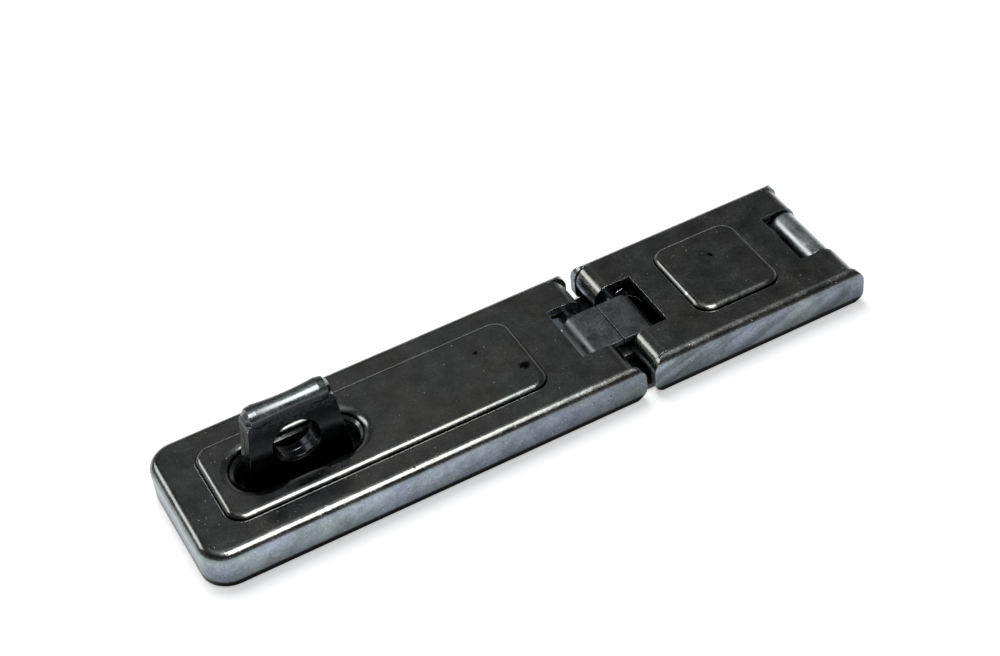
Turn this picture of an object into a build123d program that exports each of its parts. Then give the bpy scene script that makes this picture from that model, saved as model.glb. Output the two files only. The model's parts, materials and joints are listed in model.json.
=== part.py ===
"""Double-jointed pressed-steel chest hasp, closed and lying on its mounting surface.

Millimetres. +Z is up from the mounting surface, and X runs along the hasp from the free
end of the long leaf (-X) to the hinge that is screwed down (+X). The origin is on the
mounting surface, midway between the two ends.
"""
from build123d import *
import math
import os

os.makedirs("parts", exist_ok=True)

# Overall sizes
closed_length = 120.0
leaf_width = 28.0
leaf_height = 7.2

# Leaves, pressed from one sheet each
leaf_sheet = 1.4
edge_bend = 1.7
foot_edge = 0.35
free_corner = 4.8
panel_rise = 0.8
panel_slope = 45.0
panel_edge_round = 1.1
panel_corner = 3.2
panel_side_margin = 5.0
panel_free_margin = 6.5
panel_notch_margin = 6.8
short_panel_margin = 5.0

# Hinges: pins, and the strip rolled round them
pin_diameter = 2.8
pin_clearance = 0.05
pin_end_gap = 0.2
eye_wrap = 285.0
eye_side_gap = 0.15
notch_width = 12.4
short_notch_setback = 4.1
long_notch_setback = 3.8
fixed_nose_turn = 41.0
short_nose_turn = 46.0
long_nose_turn = 36.0
nose_top_radius = 2.6
nose_under_radius = 1.5
short_leaf_pitch = 34.6
link_pitch = 8.2

# Link between the leaves
link_strip = 1.0
link_width = 9.4
link_front_gap = 0.2
link_seam = 0.25

# Fixed plate under the short leaf
plate_side_gap = 0.4
plate_sheet = 1.0
plate_corner = 2.5
plate_reach = 5.5
knuckle_width = 11.2
knuckle_rise_start = 6.6
knuckle_rise_run = 3.4
knuckle_bend = 1.3

# Staple and the plate under the long leaf
staple_from_end = 21.5
staple_ply = 1.65
staple_ply_gap = 0.2
staple_height = 20.5
staple_slot_gap = 1.5
staple_taper = 1.9
staple_shoulder = 3.2
staple_corner = 1.3
ear_bulge = 0.3
ear_inset = 2.0
ear_end_gap = 0.1
ear_end_draw = 0.3
ear_end_edge = 0.7
tenon_gap = 0.05
shackle_hole = 7.6
shackle_hole_drop = 0.2
hole_edge = 0.35
staple_plate_sheet = 1.5
staple_plate_length = 37.0

# Slot in the long leaf
slot_length = 21.4
slot_width = 8.4
lip_run = 1.5
lip_slope = 38.0
lip_round = 2.0
lip_underside_depth = 1.0

# Screw holes in both plates
screw_hole = 4.2
screw_sink = 5.4
frame_screws_x = 14.0
staple_screws_x = 28.0
screws_y = 14.0

# Sizes that follow from the ones above
pin_radius = pin_diameter / 2
bore_radius = pin_radius + pin_clearance
eye_radius = bore_radius + leaf_sheet
pin_height = leaf_height - eye_radius
free_end = -closed_length / 2
inner_half_width = leaf_width / 2 - leaf_sheet
panel_width = leaf_width - 2 * panel_side_margin
panel_top = leaf_height + panel_rise
plate_width = 2 * (inner_half_width - plate_side_gap)
staple_x = free_end + staple_from_end
staple_thickness = 2 * staple_ply + staple_ply_gap
staple_base_width = slot_length - 2 * staple_slot_gap
staple_top_width = staple_base_width - 2 * staple_taper
staple_tenon_width = staple_base_width - 2 * staple_shoulder


def nose_reach(turn):
    """How far a side wall stands out past its pin, when its nose turns under to that angle."""
    return pin_height * math.cos(math.radians(turn))


frame_pin_x = closed_length / 2 - nose_reach(fixed_nose_turn)
short_pin_x = frame_pin_x - short_leaf_pitch
long_pin_x = short_pin_x - link_pitch


def end_plane(pin_x, outward):
    """Plane through a pin: local X points out of the leaf's end and local Y points up."""
    return Plane(origin=(pin_x, 0, pin_height), x_dir=(outward, 0, 0), z_dir=(0, -outward, 0))


def rolled_section(plane, thickness, start, wrap):
    """Section of a strip rolled round the bore, from the start angle through the wrap."""
    with BuildSketch(plane) as section:
        with BuildLine():
            outside = CenterArc((0, 0), bore_radius + thickness, start, wrap)
            inside = CenterArc((0, 0), bore_radius, start, wrap)
            Line(outside @ 0, inside @ 0)
            Line(outside @ 1, inside @ 1)
        make_face()
    return section.sketch


def nose_waste(plane, turn):
    """What is cut off the end of a side wall: its nose turns under round the pin."""
    reach = nose_reach(turn)
    past_end = reach + leaf_height
    with BuildSketch(plane) as waste:
        with BuildLine():
            Polyline(
                (reach - nose_top_radius, eye_radius),
                (reach - nose_top_radius, leaf_height),
                (past_end, leaf_height),
                (past_end, -leaf_height),
                (0, -leaf_height),
                (0, -pin_height),
            )
            under = CenterArc((0, 0), pin_height, -90, 90 - turn)
            Line(under @ 1, (reach, eye_radius - nose_top_radius))
            CenterArc((reach - nose_top_radius, eye_radius - nose_top_radius), nose_top_radius, 0, 90)
        make_face()
        fillet(waste.vertices().sort_by_distance(under @ 1)[0], nose_under_radius)
    return waste.sketch


def hinge_end(pin_x, outward, turn, notch_setback):
    """Shape one end of the leaf being built: side-wall noses, rolled eyes and the notch."""
    plane = end_plane(pin_x, outward)
    with BuildSketch(plane) as between_noses:
        Rectangle(2 * leaf_height, 4 * leaf_height, align=(Align.MIN, Align.CENTER))
    extrude(between_noses.sketch, amount=inner_half_width, both=True, mode=Mode.SUBTRACT)
    extrude(nose_waste(plane, turn), amount=leaf_width, both=True, mode=Mode.SUBTRACT)
    eye = rolled_section(plane, leaf_sheet, 90, -eye_wrap)
    extrude(eye, amount=inner_half_width - eye_side_gap, both=True)
    with BuildSketch(plane) as notch:
        with Locations((-notch_setback, 0)):
            Rectangle(4 * leaf_height, 4 * leaf_height, align=(Align.MIN, Align.CENTER))
    extrude(notch.sketch, amount=notch_width / 2, both=True, mode=Mode.SUBTRACT)


def raise_panel(leaf, first_x, last_x):
    """Press the panel of the leaf being built up, with the same step in its underside."""
    middle = (first_x + last_x) / 2
    length = last_x - first_x
    step = 2 * leaf_sheet * math.tan(math.radians(panel_slope / 2))
    with BuildSketch(Plane.XY.offset(leaf_height)) as top:
        with Locations((middle, 0)):
            RectangleRounded(length, panel_width, panel_corner)
    extrude(top.sketch, amount=panel_rise, taper=panel_slope)
    fillet(leaf.edges().group_by(Axis.Z)[-1], panel_edge_round)
    with BuildSketch(Plane.XY.offset(leaf_height - leaf_sheet)) as underside:
        with Locations((middle, 0)):
            RectangleRounded(length - step, panel_width - step, panel_corner - step / 2)
    extrude(underside.sketch, amount=panel_rise, taper=panel_slope, mode=Mode.SUBTRACT)


# Long leaf: a drawn pan with a wall on three sides, and its hinge eyes at the fourth
with BuildPart() as long_leaf:
    long_end = long_pin_x + nose_reach(long_nose_turn)
    long_length = long_end - free_end
    with BuildSketch() as long_outline:
        with Locations((free_end, 0)):
            Rectangle(long_length, leaf_width, align=(Align.MIN, Align.CENTER))
        fillet(long_outline.vertices().group_by(Axis.X)[0], free_corner)
    extrude(amount=leaf_height)
    top_edges = long_leaf.edges().group_by(Axis.Z)[-1].sort_by(Axis.X)[:-1]
    fillet(top_edges, edge_bend)
    foot_edges = long_leaf.edges().group_by(Axis.Z)[0].sort_by(Axis.X)[:-1]
    chamfer(foot_edges, foot_edge)
    with BuildSketch() as long_hollow:
        with Locations((free_end + leaf_sheet, 0)):
            Rectangle(long_length, 2 * inner_half_width, align=(Align.MIN, Align.CENTER))
        fillet(long_hollow.vertices().group_by(Axis.X)[0], free_corner - leaf_sheet)
    extrude(amount=leaf_height - leaf_sheet, mode=Mode.SUBTRACT)
    raise_panel(long_leaf, free_end + panel_free_margin, long_pin_x - long_notch_setback - panel_notch_margin)
    with BuildSketch(Plane.XY.offset(panel_top - leaf_sheet)) as lip_underside:
        with Locations((staple_x, 0)):
            SlotOverall(slot_length + 2 * leaf_sheet, slot_width + 2 * leaf_sheet)
    extrude(amount=-lip_underside_depth, taper=lip_slope)
    with BuildSketch(Plane.XY.offset(panel_top)) as lip_rim:
        with Locations((staple_x, 0)):
            SlotOverall(slot_length + 2 * lip_run, slot_width + 2 * lip_run)
    lip_depth = lip_run * math.tan(math.radians(lip_slope))
    extrude(amount=-lip_depth, taper=90 - lip_slope, mode=Mode.SUBTRACT)
    rim_edges = long_leaf.edges().filter_by_position(Axis.Z, panel_top, panel_top)
    rim_edges = rim_edges.filter_by_position(Axis.Y, -slot_width / 2 - lip_run, slot_width / 2 + lip_run)
    rim_edges = rim_edges.filter_by_position(
        Axis.X, staple_x - slot_length / 2 - lip_run, staple_x + slot_length / 2 + lip_run
    )
    fillet(rim_edges, lip_round)
    with BuildSketch(Plane.XY.offset(panel_top)) as staple_slot:
        with Locations((staple_x, 0)):
            SlotOverall(slot_length, slot_width)
    extrude(amount=-leaf_height, mode=Mode.SUBTRACT)
    hinge_end(long_pin_x, 1, long_nose_turn, long_notch_setback)

# Short leaf: a channel with hinge eyes at both ends
with BuildPart() as short_leaf:
    short_start = short_pin_x - nose_reach(short_nose_turn)
    short_length = closed_length / 2 - short_start
    with BuildSketch() as short_outline:
        with Locations((short_start, 0)):
            Rectangle(short_length, leaf_width, align=(Align.MIN, Align.CENTER))
    extrude(amount=leaf_height)
    long_edges = short_leaf.edges().group_by(Axis.Z)[-1].filter_by(Axis.X)
    fillet(long_edges, edge_bend)
    chamfer(short_leaf.edges().group_by(Axis.Z)[0].filter_by(Axis.X), foot_edge)
    with BuildSketch() as short_hollow:
        with Locations((short_start, 0)):
            Rectangle(short_length, 2 * inner_half_width, align=(Align.MIN, Align.CENTER))
    extrude(amount=leaf_height - leaf_sheet, mode=Mode.SUBTRACT)
    raise_panel(
        short_leaf,
        short_pin_x + short_notch_setback + short_panel_margin,
        frame_pin_x - short_notch_setback - short_panel_margin,
    )
    hinge_end(short_pin_x, -1, short_nose_turn, short_notch_setback)
    hinge_end(frame_pin_x, 1, fixed_nose_turn, short_notch_setback)

# Link: one strip wrapped round both pins, its ends meeting in a seam on the top face
link_outer = bore_radius + link_strip
link_middle_x = (short_pin_x + long_pin_x) / 2
link_front_y = -notch_width / 2 + link_front_gap
with BuildPart() as link:
    with BuildSketch(Plane((link_middle_x, link_front_y, pin_height), (1, 0, 0), (0, 1, 0))) as band:
        SlotCenterToCenter(link_pitch, 2 * link_outer)
        SlotCenterToCenter(link_pitch, 2 * bore_radius, mode=Mode.SUBTRACT)
    extrude(amount=link_width)
    with BuildSketch(Plane.XY.offset(pin_height)) as seam:
        with Locations((link_middle_x, 0)):
            Rectangle(link_seam, 2 * leaf_width)
    extrude(amount=leaf_height, mode=Mode.SUBTRACT)

# Fixed plate: screwed down under the short leaf, with its knuckle on the outer pin
with BuildPart() as frame_plate:
    plate_start = short_pin_x - plate_reach
    plate_end = frame_pin_x - knuckle_rise_start
    plate_middle = (plate_start + plate_end) / 2
    with BuildSketch() as plate_outline:
        with Locations((plate_middle, 0)):
            RectangleRounded(plate_end - plate_start, plate_width, plate_corner)
    extrude(amount=plate_sheet)
    with BuildSketch(Plane.XZ.offset(-knuckle_width / 2)) as tongue:
        with BuildLine():
            FilletPolyline(
                (plate_middle, plate_sheet / 2),
                (plate_end, plate_sheet / 2),
                (plate_end + knuckle_rise_run, pin_height - bore_radius - plate_sheet / 2),
                (frame_pin_x, pin_height - bore_radius - plate_sheet / 2),
                radius=knuckle_bend,
            )
        trace(line_width=plate_sheet)
    extrude(amount=knuckle_width)
    knuckle = rolled_section(end_plane(frame_pin_x, 1), plate_sheet, -90, eye_wrap)
    extrude(knuckle, amount=knuckle_width / 2, both=True)
    with Locations((plate_middle, 0, plate_sheet)):
        with GridLocations(frame_screws_x, screws_y, 2, 2):
            CounterSinkHole(radius=screw_hole / 2, counter_sink_radius=screw_sink / 2)

# Staple plate: screwed down under the long leaf, with a slot that the staple is fixed in
with BuildPart() as staple_plate:
    with BuildSketch() as staple_plate_outline:
        with Locations((staple_x, 0)):
            RectangleRounded(staple_plate_length, plate_width, plate_corner)
    extrude(amount=staple_plate_sheet)
    with BuildSketch() as tenon_slot:
        with Locations((staple_x, 0)):
            Rectangle(staple_tenon_width + 2 * tenon_gap, staple_thickness + 2 * tenon_gap)
    extrude(amount=staple_plate_sheet, mode=Mode.SUBTRACT)
    with Locations((staple_x, 0, staple_plate_sheet)):
        with GridLocations(staple_screws_x, screws_y, 2, 2):
            CounterSinkHole(radius=screw_hole / 2, counter_sink_radius=screw_sink / 2)

# Staple: a strip folded double over its top, tapering upwards, with the shackle hole. The
# folding draws the fold in at its middle and squeezes an ear out at each end of it.
fold_radius = staple_thickness / 2
ear_radius = fold_radius + ear_bulge
fold_height = staple_height - ear_radius
ear_x = staple_top_width / 2 - ear_inset
ear_end_x = staple_top_width / 2 - ear_end_gap
hole_height = panel_top + shackle_hole / 2 - shackle_hole_drop
with BuildPart() as staple:
    with BuildSketch(Plane.XZ.offset(-staple_thickness / 2)) as staple_face:
        with Locations((staple_x, staple_plate_sheet)):
            Trapezoid(
                staple_base_width,
                fold_height - staple_plate_sheet,
                math.degrees(math.atan2(fold_height - staple_plate_sheet, staple_taper)),
                align=(Align.CENTER, Align.MIN),
            )
        fillet(staple_face.vertices().group_by(Axis.Y)[-1], staple_corner)
        with Locations((staple_x, 0)):
            Rectangle(staple_tenon_width, fold_height - staple_corner, align=(Align.CENTER, Align.MIN))
    extrude(amount=staple_thickness)
    fold_plane = Plane(origin=(staple_x, 0, fold_height), x_dir=(1, 0, 0), z_dir=(0, -1, 0))
    with BuildSketch(fold_plane) as fold_profile:
        with BuildLine():
            ThreePointArc((-ear_x, ear_radius), (0, fold_radius), (ear_x, ear_radius))
            Polyline(
                (ear_x, ear_radius),
                (ear_end_x, ear_radius - ear_end_draw),
                (ear_end_x, 0),
                (-ear_end_x, 0),
                (-ear_end_x, ear_radius - ear_end_draw),
                (-ear_x, ear_radius),
            )
        make_face()
        left_end, *_, right_end = fold_profile.vertices().group_by(Axis.X)
        chamfer([left_end.sort_by(Axis.Y)[-1], right_end.sort_by(Axis.Y)[-1]], ear_end_edge)
    revolve(axis=Axis((staple_x, 0, fold_height), (1, 0, 0)))
    with BuildSketch() as ply_seam:
        with Locations((staple_x, 0)):
            Rectangle(2 * staple_base_width, staple_ply_gap)
    extrude(amount=fold_height, mode=Mode.SUBTRACT)
    with BuildSketch(Plane.XZ.offset(-staple_thickness / 2)) as eye_hole:
        with Locations((staple_x, hole_height)):
            Circle(shackle_hole / 2)
    extrude(amount=staple_thickness, mode=Mode.SUBTRACT)
    hole_rims = staple.edges().filter_by(GeomType.CIRCLE).filter_by(Plane.XZ)
    hole_rims = hole_rims.filter_by(lambda rim: abs(rim.radius - shackle_hole / 2) < hole_edge)
    hole_rims = hole_rims.sort_by(Axis.Y)
    chamfer([hole_rims[0], hole_rims[-1]], hole_edge)


def hinge_pin(pin_x):
    """Plain pin, trapped between the side walls of the leaf that covers it."""
    with BuildPart() as pin:
        with BuildSketch(Plane.XZ) as pin_section:
            with Locations((pin_x, pin_height)):
                Circle(pin_radius)
        extrude(amount=inner_half_width - pin_end_gap, both=True)
    return pin.part


frame_pin = hinge_pin(frame_pin_x)
short_leaf_pin = hinge_pin(short_pin_x)
long_leaf_pin = hinge_pin(long_pin_x)

pieces = {
    "long_leaf": long_leaf.part,
    "short_leaf": short_leaf.part,
    "link": link.part,
    "frame_plate": frame_plate.part,
    "staple_plate": staple_plate.part,
    "staple": staple.part,
    "frame_pin": frame_pin,
    "short_leaf_pin": short_leaf_pin,
    "long_leaf_pin": long_leaf_pin,
}
for name, piece in pieces.items():
    piece.label = name
    export_step(piece, f"parts/{name}.step")
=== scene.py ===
"""Looks of a zinc-plated chest hasp, on a pale floor under soft studio lamps. Metres throughout."""
import json
from math import radians
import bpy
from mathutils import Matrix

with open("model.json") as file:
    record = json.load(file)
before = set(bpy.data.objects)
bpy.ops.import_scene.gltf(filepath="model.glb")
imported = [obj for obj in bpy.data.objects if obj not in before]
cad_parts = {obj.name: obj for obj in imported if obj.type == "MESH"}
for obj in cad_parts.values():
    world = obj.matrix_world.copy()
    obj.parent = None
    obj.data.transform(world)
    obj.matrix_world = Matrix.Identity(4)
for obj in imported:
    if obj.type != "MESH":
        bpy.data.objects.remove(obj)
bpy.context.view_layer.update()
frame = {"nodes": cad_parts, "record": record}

from types import SimpleNamespace

import bpy
from mathutils import Euler, Matrix, Vector

bl_info = {
    "name": "Chest Hasp",
    "version": (1, 0, 0),
    "blender": (4, 5, 0),
    "location": "3D View > Sidebar > Hasp",
    "description": "Finishes a zinc-plated chest hasp and sets its studio stage",
    "category": "Object",
}

MM = 0.001
NODES = frame["nodes"]

# Heights above the surface that the hasp lies on: where the painted shade round the foot thins out,
# where the walls brighten out of their painted shade, where the slopes of panels and lip are that
# get painted shade, and where the staple is rubbed from
FOOT_SHADE_LINE = (1.1 * MM, 1.5 * MM)
FOOT_SHADE_RISE = (0.3 * MM, 5.2 * MM)
PANEL_RISE = (7.2 * MM, 7.62 * MM)
RUBBED_FROM = (17.4 * MM, 18.6 * MM)
# How the painted shade on those slopes thins out, below and above
CREASE_FADE = (0.04 * MM, 0.17 * MM)
# Stretch of the hasp's length in which its walls grow dull towards the hinges
HINGE_DULL = (-24 * MM, 8 * MM)

# The streaks that rubbing leaves on the walls: how they lean, and their length, depth and width
# in streak widths
STREAK_LEAN = radians(-22)
STREAK_SHAPE = (7, 4, 1)

# Pits and specks, which lie on a lattice: the share of its cells that stay empty, the share of
# the others that have a pit, and the largest spot's radius and soft edge in lattice steps
EMPTY_CELLS = 0.38
PIT_CELLS = 0.5
LARGEST_SPOT = 0.18
SPOT_EDGE = 0.04

# A mark's outline, in its radii: how far the crystals push it, and where it fades
MARK_RAGGEDNESS = 1.6
MARK_EDGE = (1.3, 1.7)
# Marks of use on the leaves: place and radius in millimetres, and what each one is
LONG_LEAF_MARKS = (
    ((0.9, -3.4, 8.0), 1.3, "stain"),
    ((-4.6, 3.4, 8.0), 0.5, "stain"),
    ((10.7, -14.0, 4.4), 0.22, "stain"),
    ((10.2, -14.0, 3.6), 0.16, "stain"),
    ((-19.1, -9.7, 7.7), 0.5, "ding"),
    ((-39.2, -13.0, 6.8), 0.7, "worn"),
    ((-41.0, -12.8, 6.9), 0.35, "stain"),
    ((-24.0, -12.9, 6.9), 0.3, "stain"),
)
SHORT_LEAF_MARKS = (
    ((25.6, -14.0, 4.2), 0.22, "stain"),
    ((31.4, -0.4, 7.6), 0.45, "ding"),
    ((31.8, -3.2, 7.6), 0.5, "worn"),
    ((40.0, 2.5, 8.0), 0.6, "stain"),
)

# Distances from the hasp between which the floor turns pure white
FLOOR_WHITENS = (0.3, 1.2)
# The soft glow in the room that the tops mirror: its direction, and how far from there it reaches
# on a sphere of radius 1
GLOW_TOWARDS = (0.2, 0.64, 0.74)
GLOW_REACH = 0.17


def linear(hex_colour):
    """An sRGB hex colour, such as #8a9299, as the linear RGBA that the shaders take."""
    channels = [int(hex_colour[i:i + 2], 16) / 255 for i in (1, 3, 5)]
    return [c / 12.92 if c <= 0.04045 else ((c + 0.055) / 1.055) ** 2.4 for c in channels] + [1.0]


def add(tree, kind, settings=None, links=None):
    """Add one node. Settings give values to its properties or to its sockets, by name or number.
    Links say what feeds a socket: another socket, or a node, for its first output in use."""
    node = tree.nodes.new(kind)
    for key, value in (settings or {}).items():
        if isinstance(key, str) and hasattr(node, key):
            setattr(node, key, value)
        else:
            node.inputs[key].default_value = value
    for key, source in (links or {}).items():
        if isinstance(source, bpy.types.Node):
            source = next(output for output in source.outputs if output.enabled)
        tree.links.new(source, node.inputs[key])
    return node


class HaspZinc(bpy.types.PropertyGroup):
    """Sizes and colours of the zinc plating."""

    # The tops' colour is darker than the walls', as painted shade for the dim room that the tops
    # mirror; the walls' blue tint is the plating's own
    top_colour: bpy.props.StringProperty(
        name="Top colour", description="Plating on the flat tops, as sRGB hex", default="#818582")
    top_tint: bpy.props.StringProperty(
        name="Top tint", description="Browner patches of the tops, as sRGB hex", default="#83837f")
    wall_colour: bpy.props.StringProperty(
        name="Wall colour", description="Plating on the side walls, as sRGB hex",
        default="#929ea0")
    wall_tint: bpy.props.StringProperty(
        name="Wall tint", description="Bluer patches of the walls, as sRGB hex",
        default="#919aa8")
    link_colour: bpy.props.StringProperty(
        name="Link colour", description="Dull plating on the link, as sRGB hex", default="#7b7e81")
    staple_colour: bpy.props.StringProperty(
        name="Staple colour", description="Plating on the staple, as sRGB hex", default="#2c2e32")
    fold_polish_and_highlight_colour: bpy.props.StringProperty(
        name="Fold colour", description="Staple's fold, polished by shackles and paler as painted highlight, as sRGB hex",
        default="#7f8486")
    rubbed_colour: bpy.props.StringProperty(
        name="Rubbed colour", description="Rubbed plating on the staple's face, as sRGB hex",
        default="#34333a")
    # Painted highlight: the knuckle is paler than the walls of the same plate, standing for the
    # highlight along it
    knuckle_highlight_colour: bpy.props.StringProperty(
        name="Knuckle colour", description="Plating on the fixed plate's knuckle, as sRGB hex",
        default="#c3c8ca")
    # Painted shade: the plates under the leaves are painted dark; the pins share this colour as
    # their own
    plate_shade_and_pin_colour: bpy.props.StringProperty(
        name="Plate colour", description="Painted shade on what lies under the leaves, and the pins' own colour, as sRGB hex",
        default="#4a4d4f")
    stain_colour: bpy.props.StringProperty(
        name="Stain colour", description="Dark tarnish, as sRGB hex", default="#242322")
    # Painted shade along the foot and in the creases round the panels
    painted_shade_colour: bpy.props.StringProperty(
        name="Painted shade colour", description="Painted shade in creases and round the foot, as sRGB hex",
        default="#0b0b0c")
    bright_colour: bpy.props.StringProperty(
        name="Bright colour", description="Burnished specks and edges, as sRGB hex",
        default="#d3d8d8")
    top_roughness: bpy.props.FloatProperty(
        name="Top roughness", description="Roughness of the pressed tops", default=0.2,
        min=0.0, max=1.0, subtype="FACTOR")
    wall_roughness: bpy.props.FloatProperty(
        name="Wall roughness", description="Roughness of the rubbed side walls", default=0.32,
        min=0.0, max=1.0, subtype="FACTOR")
    rubbed_roughness: bpy.props.FloatProperty(
        name="Rubbed roughness", description="Roughness where padlocks rub the staple",
        default=0.42, min=0.0, max=1.0, subtype="FACTOR")
    hinge_share: bpy.props.FloatProperty(
        name="Hinge share", description="Share of its brightness that a wall keeps by the hinges",
        default=0.64, min=0.0, max=1.0, subtype="FACTOR")
    # Painted shade: walls darken towards the foot, where they mirror the floor in the hasp's shadow
    foot_share: bpy.props.FloatProperty(
        name="Foot share", description="Share of its brightness that a wall keeps at its foot",
        default=0.38, min=0.0, max=1.0, subtype="FACTOR")
    cloud_depth: bpy.props.FloatProperty(
        name="Cloud depth", description="How far the clouds lighten and darken the plating",
        default=0.26, min=0.0, max=1.0, subtype="FACTOR")
    grain_depth: bpy.props.FloatProperty(
        name="Grain depth", description="How far the crystals lighten and darken the plating",
        default=0.24, min=0.0, max=1.0, subtype="FACTOR")
    cloud_size: bpy.props.FloatProperty(
        name="Cloud size", description="Width of the plating's soft clouds", default=3.5 * MM,
        unit="LENGTH")
    tint_size: bpy.props.FloatProperty(
        name="Tint size", description="Width of the tinted patches", default=11 * MM,
        unit="LENGTH")
    grain_size: bpy.props.FloatProperty(
        name="Grain size", description="Width of the plating's fine crystals", default=0.42 * MM,
        unit="LENGTH")
    speck_pitch: bpy.props.FloatProperty(
        name="Speck pitch", description="Distance between small pits and specks",
        default=0.62 * MM, unit="LENGTH")
    streak_width: bpy.props.FloatProperty(
        name="Streak width", description="Width of the rubbing streaks on the walls",
        default=1.7 * MM, unit="LENGTH")
    edge_break: bpy.props.FloatProperty(
        name="Edge break", description="Radius that plating and handling leave on sharp edges",
        default=0.14 * MM, unit="LENGTH")
    grain_height: bpy.props.FloatProperty(
        name="Grain height", description="How far the crystals stand up", default=0.02 * MM,
        unit="LENGTH")
    dent_height: bpy.props.FloatProperty(
        name="Dent height", description="How far specks and dings stand up", default=0.06 * MM,
        unit="LENGTH")


class HaspStage(bpy.types.PropertyGroup):
    """Floor, room, lamps and camera."""

    floor_colour: bpy.props.StringProperty(
        name="Floor colour", description="Pale floor, as sRGB hex", default="#f8f8f9")
    hole_shade_colour: bpy.props.StringProperty(
        name="Hole colour", description="Painted shade on the floor in the plates' screw holes, as sRGB hex",
        default="#0d0d0e")
    floor_radius: bpy.props.FloatProperty(
        name="Floor radius", description="Radius of the round floor", default=3.0, unit="LENGTH")
    floor_gap: bpy.props.FloatProperty(
        name="Floor gap", description="Gap between plates and floor, too small to see",
        default=0.02 * MM, unit="LENGTH")
    floor_lift: bpy.props.FloatProperty(
        name="Floor lift", description="White added to the floor for camera and glossy rays",
        default=0.5, min=0.0, max=1.0)
    room_colour: bpy.props.StringProperty(
        name="Room colour", description="Light of the room that the plating mirrors, as sRGB hex",
        default="#f2f4f6")
    ceiling: bpy.props.FloatProperty(
        name="Ceiling", description="Light straight above, at its strongest", default=0.6)
    near_wall: bpy.props.FloatProperty(
        name="Near wall", description="Light of the room in front", default=0.05)
    far_wall: bpy.props.FloatProperty(
        name="Far wall", description="Light of the room behind", default=0.12)
    glow: bpy.props.FloatProperty(
        name="Glow", description="Soft spot of light that the tops mirror", default=0.16)
    horizon: bpy.props.FloatProperty(
        name="Horizon", description="Light of the room low down", default=0.22)
    overhead_watts: bpy.props.FloatProperty(
        name="Overhead lamp", description="Power of the soft box above and behind, in watts",
        default=5.2)
    front_watts: bpy.props.FloatProperty(
        name="Front lamp", description="Power of the soft box above and in front, in watts",
        default=7.8)
    back_watts: bpy.props.FloatProperty(
        name="Back lamp", description="Power of the soft box behind on the left, in watts",
        default=1.1)
    camera_place: bpy.props.FloatVectorProperty(
        name="Camera place", description="Where the camera stands",
        default=(-98.419 * MM, -221.807 * MM, 246.693 * MM), precision=5, subtype="TRANSLATION")
    camera_turn: bpy.props.FloatVectorProperty(
        name="Camera turn", description="How the camera is turned from looking straight down",
        default=(radians(46.0327), radians(4.8317), radians(-28.3113)), subtype="EULER")
    lens: bpy.props.FloatProperty(
        name="Lens", description="Focal length on a 36 mm sensor, in millimetres", default=75.16)


def read_surface(tree, seed):
    """What the finish follows at each point of a piece: its place, its distance along the hasp,
    its height, how far it faces up, from 0 on a wall to 1 on a top, and the plating's clouds,
    tints and crystals there. The seed shifts those, so that pieces differ."""
    zinc = bpy.context.scene.hasp_zinc
    coordinates = add(tree, "ShaderNodeTexCoord")
    place = coordinates.outputs["Object"]
    along, _, height = add(tree, "ShaderNodeSeparateXYZ", links={"Vector": place}).outputs
    normal = add(tree, "ShaderNodeSeparateXYZ", links={"Vector": coordinates.outputs["Normal"]})
    spot = add(tree, "ShaderNodeVectorMath", {"operation": "ADD", 1: (seed, seed, seed)},
               {0: place})
    # Noise stays near a half, so what follows one of these stretches the middle of its range
    clouds = add(tree, "ShaderNodeTexNoise",
                 {"Scale": 1 / zinc.cloud_size, "Detail": 5.0, "Roughness": 0.62},
                 {"Vector": spot})
    tints = add(tree, "ShaderNodeTexNoise",
                {"Scale": 1 / zinc.tint_size, "Detail": 3.0, "Roughness": 0.6},
                {"Vector": spot})
    grain = add(tree, "ShaderNodeTexNoise",
                {"Scale": 1 / zinc.grain_size, "Detail": 3.0, "Roughness": 0.65},
                {"Vector": spot})
    return SimpleNamespace(place=place, along=along, height=height, facing=normal.outputs["Z"],
                           spot=spot, clouds=clouds, tints=tints, grain=grain)


def find_tops(tree, at, rubbed):
    """Where a piece faces up, and so is finished as a top. On the rubbed staple only its fold
    counts, not the floor of its shackle hole."""
    tops = add(tree, "ShaderNodeMapRange", {"From Min": 0.2, "From Max": 0.6},
               {"Value": at.facing})
    if rubbed:
        low, high = RUBBED_FROM
        above = add(tree, "ShaderNodeMapRange", {"From Min": low, "From Max": high},
                    {"Value": at.height})
        tops = add(tree, "ShaderNodeMath", {"operation": "MULTIPLY"}, {0: tops, 1: above})
    return tops


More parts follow.
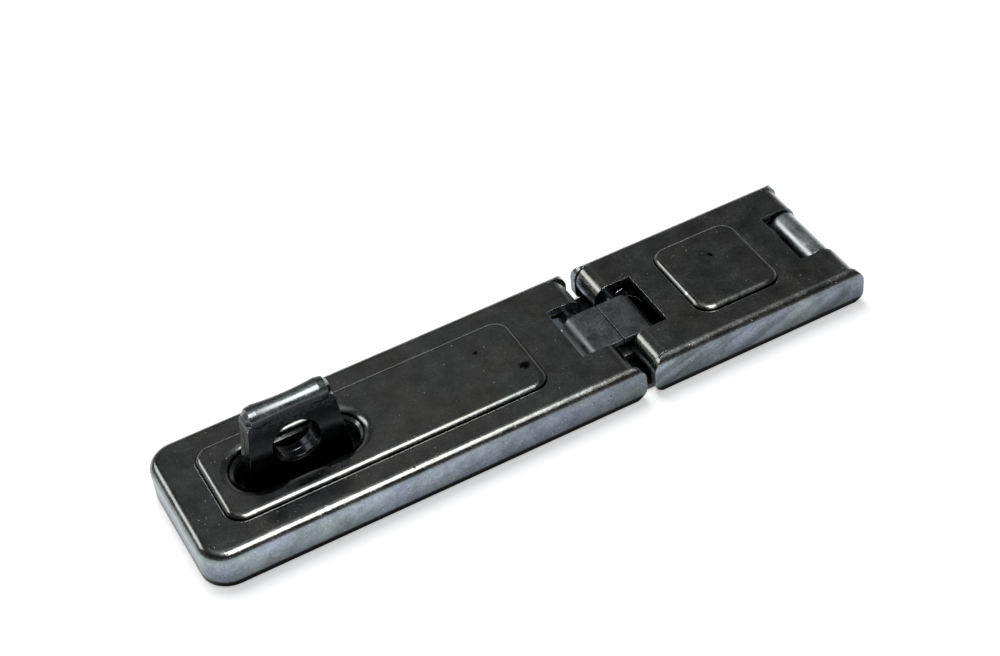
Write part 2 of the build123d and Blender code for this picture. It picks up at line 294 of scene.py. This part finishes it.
def plating_colour(tree, at, tops, top_colours, wall_colours, streaks):
    """Colour of clean plating: patches of tint everywhere, and walls that rubbing has streaked. The
    walls are painted darker towards the foot, as painted shade for the shadowed floor that they
    mirror there, and darker towards the hinges."""
    zinc = bpy.context.scene.hasp_zinc
    patches = add(tree, "ShaderNodeMapRange", {"From Min": 0.42, "From Max": 0.6},
                  {"Value": at.tints})
    top, wall = [
        add(tree, "ShaderNodeMix", {"data_type": "RGBA", 6: linear(colour), 7: linear(tint)},
            {0: patches})
        for colour, tint in (top_colours, wall_colours)]
    # Painted shade: the walls darken towards the foot, where they mirror the floor in the hasp's
    # shadow
    low, high = FOOT_SHADE_RISE
    foot = add(tree, "ShaderNodeMapRange",
               {"From Min": low, "From Max": high, "To Min": zinc.foot_share, "To Max": 1.0},
               {"Value": at.height})
    start, end = HINGE_DULL
    hinge = add(tree, "ShaderNodeMapRange",
                {"From Min": start, "From Max": end, "To Min": 1.0, "To Max": zinc.hinge_share},
                {"Value": at.along})
    darkened = add(tree, "ShaderNodeMath", {"operation": "MULTIPLY"}, {0: foot, 1: hinge})
    wall = add(tree, "ShaderNodeVectorMath", {"operation": "SCALE"}, {0: wall, "Scale": darkened})
    if streaks:
        leaning = add(tree, "ShaderNodeMapping",
                      {"vector_type": "TEXTURE", "Rotation": (0.0, STREAK_LEAN, 0.0),
                       "Scale": [share * zinc.streak_width for share in STREAK_SHAPE]},
                      {"Vector": at.spot})
        streaky = add(tree, "ShaderNodeTexNoise", {"Scale": 1.0, "Detail": 2.0},
                      {"Vector": leaning})
        streaky = add(tree, "ShaderNodeMapRange",
                      {"From Min": 0.35, "From Max": 0.65, "To Min": 1 - streaks,
                       "To Max": 1 + streaks}, {"Value": streaky})
        wall = add(tree, "ShaderNodeVectorMath", {"operation": "SCALE"},
                   {0: wall, "Scale": streaky})
    return add(tree, "ShaderNodeMix", {"data_type": "RGBA"}, {0: tops, 6: wall, 7: top})


def cloudy_shade(tree, at):
    """How clouds and crystals lighten and darken the plating's colour, and dull and gloss it."""
    zinc = bpy.context.scene.hasp_zinc
    cloudy = add(tree, "ShaderNodeMapRange",
                 {"From Min": 0.32, "From Max": 0.68, "To Min": 1 - zinc.cloud_depth,
                  "To Max": 1 + zinc.cloud_depth}, {"Value": at.clouds})
    grainy = add(tree, "ShaderNodeMapRange",
                 {"From Min": 0.3, "From Max": 0.7, "To Min": 1 - zinc.grain_depth,
                  "To Max": 1 + zinc.grain_depth}, {"Value": at.grain})
    return add(tree, "ShaderNodeMath", {"operation": "MULTIPLY"}, {0: cloudy, 1: grainy})


def pits_and_specks(tree, at):
    """Small round spots, at most one in each cell of a random lattice. Gives where all of them
    are, where the dark pits are and where the burnished specks are."""
    zinc = bpy.context.scene.hasp_zinc
    lattice = add(tree, "ShaderNodeTexVoronoi", {"Scale": 1 / zinc.speck_pitch},
                  {"Vector": at.spot})
    draw = add(tree, "ShaderNodeSeparateColor", links={"Color": lattice.outputs["Color"]})
    reach = add(tree, "ShaderNodeMapRange",
                {"From Min": EMPTY_CELLS, "From Max": 1.0, "To Min": 0.0,
                 "To Max": LARGEST_SPOT}, {"Value": draw.outputs["Red"]})
    inside = add(tree, "ShaderNodeMath", {"operation": "SUBTRACT"},
                 {0: reach, 1: lattice.outputs["Distance"]})
    spots = add(tree, "ShaderNodeMapRange", {"From Min": 0.0, "From Max": SPOT_EDGE},
                {"Value": inside})
    burnished = add(tree, "ShaderNodeMath", {"operation": "GREATER_THAN", 1: PIT_CELLS},
                    {0: draw.outputs["Green"]})
    specks = add(tree, "ShaderNodeMath", {"operation": "MULTIPLY"}, {0: spots, 1: burnished})
    pits = add(tree, "ShaderNodeMath", {"operation": "SUBTRACT"}, {0: spots, 1: specks})
    return spots, pits, specks


def mark_of_use(tree, at, centre, radius):
    """Where one mark is: round a centre in millimetres, with a ragged outline."""
    away = add(tree, "ShaderNodeVectorMath",
               {"operation": "DISTANCE", 1: [c * MM for c in centre]}, {0: at.place})
    reach = radius * MM
    ragged = add(tree, "ShaderNodeMath",
                 {"operation": "MULTIPLY_ADD", 1: MARK_RAGGEDNESS * reach},
                 {0: at.grain, 2: away})
    inner, outer = MARK_EDGE
    return add(tree, "ShaderNodeMapRange",
               {"From Min": outer * reach, "From Max": inner * reach}, {"Value": ragged})


def rubbed_face(tree, at):
    """Where padlocks rub the upper part of an upright face, in flecks, above a wavy line."""
    low, high = RUBBED_FROM
    wave = 3 * MM
    wavy = add(tree, "ShaderNodeMath", {"operation": "MULTIPLY_ADD", 1: wave},
               {0: at.clouds, 2: at.height})
    band = add(tree, "ShaderNodeMapRange", {"From Min": low, "From Max": high}, {"Value": wavy})
    tilt = add(tree, "ShaderNodeMath", {"operation": "ABSOLUTE"}, {0: at.facing})
    upright = add(tree, "ShaderNodeMapRange", {"From Min": 0.3, "From Max": 0.08},
                  {"Value": tilt})
    flecks = add(tree, "ShaderNodeMapRange", {"From Min": 0.42, "From Max": 0.6},
                 {"Value": at.grain})
    band = add(tree, "ShaderNodeMath", {"operation": "MULTIPLY"}, {0: band, 1: upright})
    return add(tree, "ShaderNodeMath", {"operation": "MULTIPLY"}, {0: band, 1: flecks})


def crease(tree, at):
    """Where shade is painted: dark in the crease round a raised panel and on the slope of the
    slot's lip.
    """
    low, high = PANEL_RISE
    low_fade, high_fade = CREASE_FADE
    sloped = add(tree, "ShaderNodeMapRange", {"From Min": 0.99, "From Max": 0.93},
                 {"Value": at.facing})
    over = add(tree, "ShaderNodeMapRange", {"From Min": low, "From Max": low + low_fade},
               {"Value": at.height})
    under = add(tree, "ShaderNodeMapRange", {"From Min": high, "From Max": high - high_fade},
                {"Value": at.height})
    level = add(tree, "ShaderNodeMath", {"operation": "MULTIPLY"}, {0: over, 1: under})
    return add(tree, "ShaderNodeMath", {"operation": "MULTIPLY"}, {0: level, 1: sloped})


def polished_edges(tree, rounded):
    """Where handling has polished an edge: where its rounded face turns away from the flat one."""
    flat = add(tree, "ShaderNodeNewGeometry").outputs["Normal"]
    turned = add(tree, "ShaderNodeVectorMath", {"operation": "DOT_PRODUCT"},
                 {0: rounded, 1: flat})
    return add(tree, "ShaderNodeMapRange",
               {"From Min": 0.96, "From Max": 0.82, "To Max": 0.75}, {"Value": turned})


def zinc_plate(name, seed, top_colours, top_roughness, wall_colours, wall_roughness,
               streaks=0.0, marks=(), rubbed=False, shade_in_creases=False, foot_shade_colour=None):
    """Zinc plating over steel: clouds and patches of tint in its colour, fine crystals that break
    up its highlights, small pits and burnished specks, and edges that handling has polished. The
    colours of tops and walls are pairs: the plating's own, and that of its tinted patches.

    Real zinc crystals are a few hundredths of a millimetre wide and its pits about a tenth. The
    render shows a fifth of a millimetre at best, so both are drawn coarser here."""
    zinc = bpy.context.scene.hasp_zinc
    material = bpy.data.materials.new(name)
    material.use_nodes = True
    tree = material.node_tree
    tree.nodes.clear()
    at = read_surface(tree, seed)
    tops = find_tops(tree, at, rubbed)
    shade = cloudy_shade(tree, at)
    tone = plating_colour(tree, at, tops, top_colours, wall_colours, streaks)
    tone = add(tree, "ShaderNodeVectorMath", {"operation": "SCALE"}, {0: tone, "Scale": shade})
    rough = add(tree, "ShaderNodeMix", {2: wall_roughness, 3: top_roughness}, {0: tops})
    rough = add(tree, "ShaderNodeMath", {"operation": "MULTIPLY"}, {0: rough, 1: shade})

    # What lies on the clean plating, painted shade included, from the first layer to the last:
    # where, and in what colour
    spots, pits, specks = pits_and_specks(tree, at)
    dents = add(tree, "ShaderNodeMath", {"operation": "MULTIPLY"}, {0: spots, 1: at.grain})
    layers = [(pits, zinc.stain_colour), (specks, zinc.bright_colour)]
    for centre, radius, kind in marks:
        mark = mark_of_use(tree, at, centre, radius)
        if kind == "ding":
            dents = add(tree, "ShaderNodeMath", {"operation": "ADD"}, {0: dents, 1: mark})
        else:
            layers.append((mark, zinc.stain_colour if kind == "stain" else zinc.bright_colour))
    if rubbed:
        worn = rubbed_face(tree, at)
        layers.append((worn, zinc.rubbed_colour))
        rough = add(tree, "ShaderNodeMix", {3: zinc.rubbed_roughness}, {0: worn, 2: rough})
    rounded = add(tree, "ShaderNodeBevel", {"samples": 4, "Radius": zinc.edge_break})
    layers.append((polished_edges(tree, rounded), zinc.bright_colour))
    # Painted shade in the creases round the raised panels
    if shade_in_creases:
        layers.append((crease(tree, at), zinc.painted_shade_colour))
    # Painted shade along the foot: a dark line on the leaves, and the dark flat of the fixed plate
    if foot_shade_colour:
        low, high = FOOT_SHADE_LINE
        foot = add(tree, "ShaderNodeMapRange", {"From Min": high, "From Max": low},
                   {"Value": at.height})
        layers.append((foot, foot_shade_colour))
    for where, colour in layers:
        tone = add(tree, "ShaderNodeMix", {"data_type": "RGBA", 7: linear(colour)},
                   {0: where, 6: tone})

    fine = add(tree, "ShaderNodeBump", {"Strength": 0.28, "Distance": zinc.grain_height},
               {"Height": at.grain, "Normal": rounded})
    coarse = add(tree, "ShaderNodeBump", {"Strength": 0.6, "Distance": zinc.dent_height},
                 {"Height": dents, "Normal": fine})
    metal = add(tree, "ShaderNodeBsdfPrincipled", {"Metallic": 1.0},
                {"Base Color": tone, "Roughness": rough, "Normal": coarse})
    add(tree, "ShaderNodeOutputMaterial", links={"Surface": metal})
    return material


def finish_node(node, material):
    """Give a CAD node its material in every slot."""
    mesh = NODES[node].data
    mesh.materials.clear()
    mesh.materials.append(material)


class HASP_OT_leaves(bpy.types.Operator):
    """Finish the two pressed leaves."""

    bl_idname = "hasp.leaves"
    bl_label = "Leaves"

    def execute(self, context):
        # Zinc-plated, passivated pressed steel: the tops kept the rolled sheet's gloss and mirror
        # a dark room, while the drawn walls came out satin and bluer. The tops are also painted
        # darker than the walls, as painted shade for the dim room that they mirror.
        zinc = context.scene.hasp_zinc
        for node, seed, streaks, marks in (("long_leaf", 0.11, 0.08, LONG_LEAF_MARKS),
                                           ("short_leaf", 0.37, 0.32, SHORT_LEAF_MARKS)):
            finish_node(node, zinc_plate(
                "zinc_plated_pressed_" + node, seed,
                top_colours=(zinc.top_colour, zinc.top_tint), top_roughness=zinc.top_roughness,
                wall_colours=(zinc.wall_colour, zinc.wall_tint),
                wall_roughness=zinc.wall_roughness,
                streaks=streaks, marks=marks, shade_in_creases=True, foot_shade_colour=zinc.painted_shade_colour))
        return {"FINISHED"}


class HASP_OT_link(bpy.types.Operator):
    """Finish the link between the leaves."""

    bl_idname = "hasp.link"
    bl_label = "Link"

    def execute(self, context):
        # Hardened, rolled strip under thin zinc: nearly black and dull, so only its edges show.
        colours = (context.scene.hasp_zinc.link_colour,) * 2
        finish_node("link", zinc_plate(
            "zinc_plated_hardened_link", seed=0.53, top_colours=colours, top_roughness=0.4,
            wall_colours=colours, wall_roughness=0.4))
        return {"FINISHED"}


class HASP_OT_staple(bpy.types.Operator):
    """Finish the folded staple."""

    bl_idname = "hasp.staple"
    bl_label = "Staple"

    def execute(self, context):
        # Hardened, folded strip, plated smooth: a dark mirror, rubbed grey below its fold.
        zinc = context.scene.hasp_zinc
        # The fold is paler than the face: partly polish from shackles, partly painted highlight
        finish_node("staple", zinc_plate(
            "zinc_plated_folded_staple", seed=0.71, top_colours=(zinc.fold_polish_and_highlight_colour,) * 2,
            top_roughness=0.3, wall_colours=(zinc.staple_colour,) * 2, wall_roughness=0.2,
            rubbed=True))
        return {"FINISHED"}


class HASP_OT_plates(bpy.types.Operator):
    """Finish the two plates that are screwed down."""

    bl_idname = "hasp.plates"
    bl_label = "Plates"

    def execute(self, context):
        # Stamped steel with zinc: dull, and painted dark as painted shade, where the plates lie on
        # the surface under the leaves, and satin and painted pale, as painted highlight, on the
        # fixed plate's knuckle, which shows in the short leaf's outer notch.
        zinc = context.scene.hasp_zinc
        dull = (zinc.plate_shade_and_pin_colour,) * 2
        finish_node("staple_plate", zinc_plate(
            "zinc_plated_staple_plate", seed=0.83, top_colours=dull, top_roughness=0.45,
            wall_colours=dull, wall_roughness=0.45))
        finish_node("frame_plate", zinc_plate(
            "zinc_plated_frame_plate", seed=0.89, top_colours=(zinc.knuckle_highlight_colour,) * 2,
            top_roughness=0.36, wall_colours=(zinc.wall_colour,) * 2, wall_roughness=0.3,
            foot_shade_colour=zinc.plate_shade_and_pin_colour))
        return {"FINISHED"}


class HASP_OT_pins(bpy.types.Operator):
    """Finish the three hinge pins."""

    bl_idname = "hasp.pins"
    bl_label = "Hinge pins"

    def execute(self, context):
        # Drawn steel wire, greased in its bores: dark and smooth.
        colours = (context.scene.hasp_zinc.plate_shade_and_pin_colour,) * 2
        for node in ("frame_pin", "short_leaf_pin", "long_leaf_pin"):
            finish_node(node, zinc_plate(
                "drawn_wire_" + node, seed=0.97, top_colours=colours, top_roughness=0.3,
                wall_colours=colours, wall_roughness=0.3))
        return {"FINISHED"}


def outside_holes(tree, place):
    """Where the floor is outside the plates' screw holes. Inside them the floor is painted dark, as
    painted shade."""
    outside = None
    for mount in frame["record"]["mounts"]:
        if mount["kind"] != "bolt_pattern":
            continue
        sizes = mount["dims"]
        corner = (sizes["spacing_x_mm"] / 2 * MM, sizes["spacing_y_mm"] / 2 * MM, 0.0)
        folded = add(tree, "ShaderNodeVectorMath", {"operation": "SUBTRACT", 1: mount["pos_m"]},
                     {0: place})
        folded = add(tree, "ShaderNodeVectorMath", {"operation": "ABSOLUTE"}, {0: folded})
        away = add(tree, "ShaderNodeVectorMath", {"operation": "DISTANCE", 1: corner},
                   {0: folded})
        clear = add(tree, "ShaderNodeMath",
                    {"operation": "GREATER_THAN", 1: sizes["hole_r_mm"] * MM}, {0: away})
        if outside is None:
            outside = clear
        else:
            outside = add(tree, "ShaderNodeMath", {"operation": "MULTIPLY"},
                          {0: outside, 1: clear})
    return outside


def floor_paper(stage):
    """Matt white paper: it scatters light evenly and has no gloss. The camera and the plating's
    mirror see it whiter than it is lit, and far from the hasp pure white."""
    paper = bpy.data.materials.new("matt_paper")
    paper.use_nodes = True
    tree = paper.node_tree
    tree.nodes.clear()
    place = add(tree, "ShaderNodeTexCoord").outputs["Object"]
    # Painted shade: the floor under the plates' screw holes is dark and gets no lift
    outside = outside_holes(tree, place)
    tone = add(tree, "ShaderNodeMix",
               {"data_type": "RGBA", 6: linear(stage.hole_shade_colour), 7: linear(stage.floor_colour)},
               {0: outside})
    sheet = add(tree, "ShaderNodeBsdfDiffuse", links={"Color": tone})
    ray = add(tree, "ShaderNodeLightPath")
    seen = add(tree, "ShaderNodeMath", {"operation": "MAXIMUM"},
               {0: ray.outputs["Is Camera Ray"], 1: ray.outputs["Is Glossy Ray"]})
    seen = add(tree, "ShaderNodeMath", {"operation": "MULTIPLY"}, {0: seen, 1: outside})
    start, end = FLOOR_WHITENS
    away = add(tree, "ShaderNodeVectorMath", {"operation": "LENGTH"}, {0: place})
    white = add(tree, "ShaderNodeMapRange",
                {"From Min": start, "From Max": end, "To Min": stage.floor_lift, "To Max": 1.0},
                {"Value": away})
    lift = add(tree, "ShaderNodeMath", {"operation": "MULTIPLY"}, {0: seen, 1: white})
    lift = add(tree, "ShaderNodeEmission", links={"Strength": lift})
    both = add(tree, "ShaderNodeAddShader", links={0: sheet, 1: lift})
    add(tree, "ShaderNodeOutputMaterial", links={"Surface": both})
    return paper


def dim_room(stage):
    """The room that the plating mirrors: dim walls, brighter low down and straight above, and a
    soft glow behind. Straight behind the object the camera sees a white backdrop instead."""
    world = bpy.data.worlds.new("dim_room")
    world.use_nodes = True
    tree = world.node_tree
    tree.nodes.clear()
    # Each part of the room is where a ray points so far back or up, from -1 to 1
    towards = add(tree, "ShaderNodeTexCoord").outputs["Generated"]
    _, back, up = add(tree, "ShaderNodeSeparateXYZ", links={"Vector": towards}).outputs
    ceiling = add(tree, "ShaderNodeMapRange",
                  {"From Min": 0.82, "From Max": 1.0, "To Max": stage.ceiling}, {"Value": up})
    walls = add(tree, "ShaderNodeMapRange",
                {"From Min": -0.2, "From Max": 0.65, "To Min": stage.near_wall,
                 "To Max": stage.far_wall}, {"Value": back})
    aside = add(tree, "ShaderNodeVectorMath", {"operation": "DISTANCE", 1: GLOW_TOWARDS},
                {0: towards})
    glow = add(tree, "ShaderNodeMapRange",
               {"From Min": GLOW_REACH, "From Max": 0.0, "To Max": stage.glow}, {"Value": aside})
    horizon = add(tree, "ShaderNodeMapRange",
                  {"From Min": 0.42, "From Max": 0.2, "To Max": stage.horizon}, {"Value": up})
    level = ceiling
    for part in (walls, glow, horizon):
        level = add(tree, "ShaderNodeMath", {"operation": "ADD"}, {0: level, 1: part})
    seen = add(tree, "ShaderNodeLightPath").outputs["Is Camera Ray"]
    level = add(tree, "ShaderNodeMath", {"operation": "MAXIMUM"}, {0: level, 1: seen})
    tint = add(tree, "ShaderNodeMix",
               {"data_type": "RGBA", 6: linear(stage.room_colour), 7: linear("#ffffff")},
               {0: seen})
    room = add(tree, "ShaderNodeBackground", links={"Color": tint, "Strength": level})
    add(tree, "ShaderNodeOutputWorld", links={"Surface": room})
    return world


def softbox(name, watts, size, place, target, mirrored=True, lights_floor=True):
    """A rectangular soft lamp that faces a target. The plating mirrors it and it lights the floor,
    unless told not to. The camera never sees it."""
    lamp = bpy.data.lights.new(name, "AREA")
    lamp.shape = "RECTANGLE"
    lamp.size, lamp.size_y = size
    lamp.energy = watts
    box = bpy.data.objects.new(name, lamp)
    turn = (Vector(target) - Vector(place)).to_track_quat("-Z", "Y")
    box.matrix_world = Matrix.Translation(place) @ turn.to_matrix().to_4x4()
    box.visible_glossy = mirrored
    box.visible_diffuse = lights_floor
    box.visible_camera = False
    bpy.context.scene.collection.objects.link(box)


class HASP_OT_stage(bpy.types.Operator):
    """Lay the floor, hang the lamps and place the camera."""

    bl_idname = "hasp.stage"
    bl_label = "Stage"

    def execute(self, context):
        scene = context.scene
        stage = scene.hasp_stage
        scene.view_settings.view_transform = "Standard"
        scene.world = dim_room(stage)

        bpy.ops.mesh.primitive_circle_add(vertices=96, radius=stage.floor_radius, fill_type="NGON")
        floor = context.object
        floor.name = "floor"
        floor.location.z = -stage.floor_gap
        floor.data.materials.append(floor_paper(stage))

        softbox("lamp_overhead", stage.overhead_watts, size=(0.5, 0.5), place=(0.05, 0.35, 0.9),
                target=(0, 0, 0), mirrored=False)
        softbox("lamp_front", stage.front_watts, size=(0.52, 0.7), place=(0.03, -0.45, 0.95),
                target=(0.03, -0.45, 0), lights_floor=False)
        softbox("lamp_back_left", stage.back_watts, size=(0.45, 0.25), place=(-0.5, 0.58, 0.5),
                target=(0, 0, 0))

        lens = bpy.data.cameras.new("camera")
        lens.sensor_width = 36
        lens.lens = stage.lens
        lens.clip_start = 0.01
        camera = bpy.data.objects.new("camera", lens)
        turn = Euler(stage.camera_turn).to_matrix().to_4x4()
        camera.matrix_world = Matrix.Translation(stage.camera_place) @ turn
        scene.collection.objects.link(camera)
        scene.camera = camera
        return {"FINISHED"}


class HASP_PT_sidebar(bpy.types.Panel):
    """Buttons for each group of pieces and the stage, and all settings."""

    bl_idname = "HASP_PT_sidebar"
    bl_label = "Chest hasp"
    bl_space_type = "VIEW_3D"
    bl_region_type = "UI"
    bl_category = "Hasp"

    def draw(self, context):
        for operator in OPERATORS:
            self.layout.operator(operator.bl_idname)
        for group in (context.scene.hasp_zinc, context.scene.hasp_stage):
            for setting in group.bl_rna.properties:
                if not setting.is_readonly and setting.identifier != "name":
                    self.layout.prop(group, setting.identifier)


OPERATORS = (HASP_OT_leaves, HASP_OT_link, HASP_OT_staple, HASP_OT_plates, HASP_OT_pins,
             HASP_OT_stage)
CLASSES = (HaspZinc, HaspStage) + OPERATORS + (HASP_PT_sidebar,)


def register():
    for cls in CLASSES:
        bpy.utils.register_class(cls)
    bpy.types.Scene.hasp_zinc = bpy.props.PointerProperty(type=HaspZinc)
    bpy.types.Scene.hasp_stage = bpy.props.PointerProperty(type=HaspStage)


def unregister():
    del bpy.types.Scene.hasp_zinc
    del bpy.types.Scene.hasp_stage
    for cls in reversed(CLASSES):
        bpy.utils.unregister_class(cls)


def main():
    """Finish every piece and set the stage."""
    register()
    bpy.ops.hasp.leaves()
    bpy.ops.hasp.link()
    bpy.ops.hasp.staple()
    bpy.ops.hasp.plates()
    bpy.ops.hasp.pins()
    bpy.ops.hasp.stage()


if __name__ == "__main__":
    main()
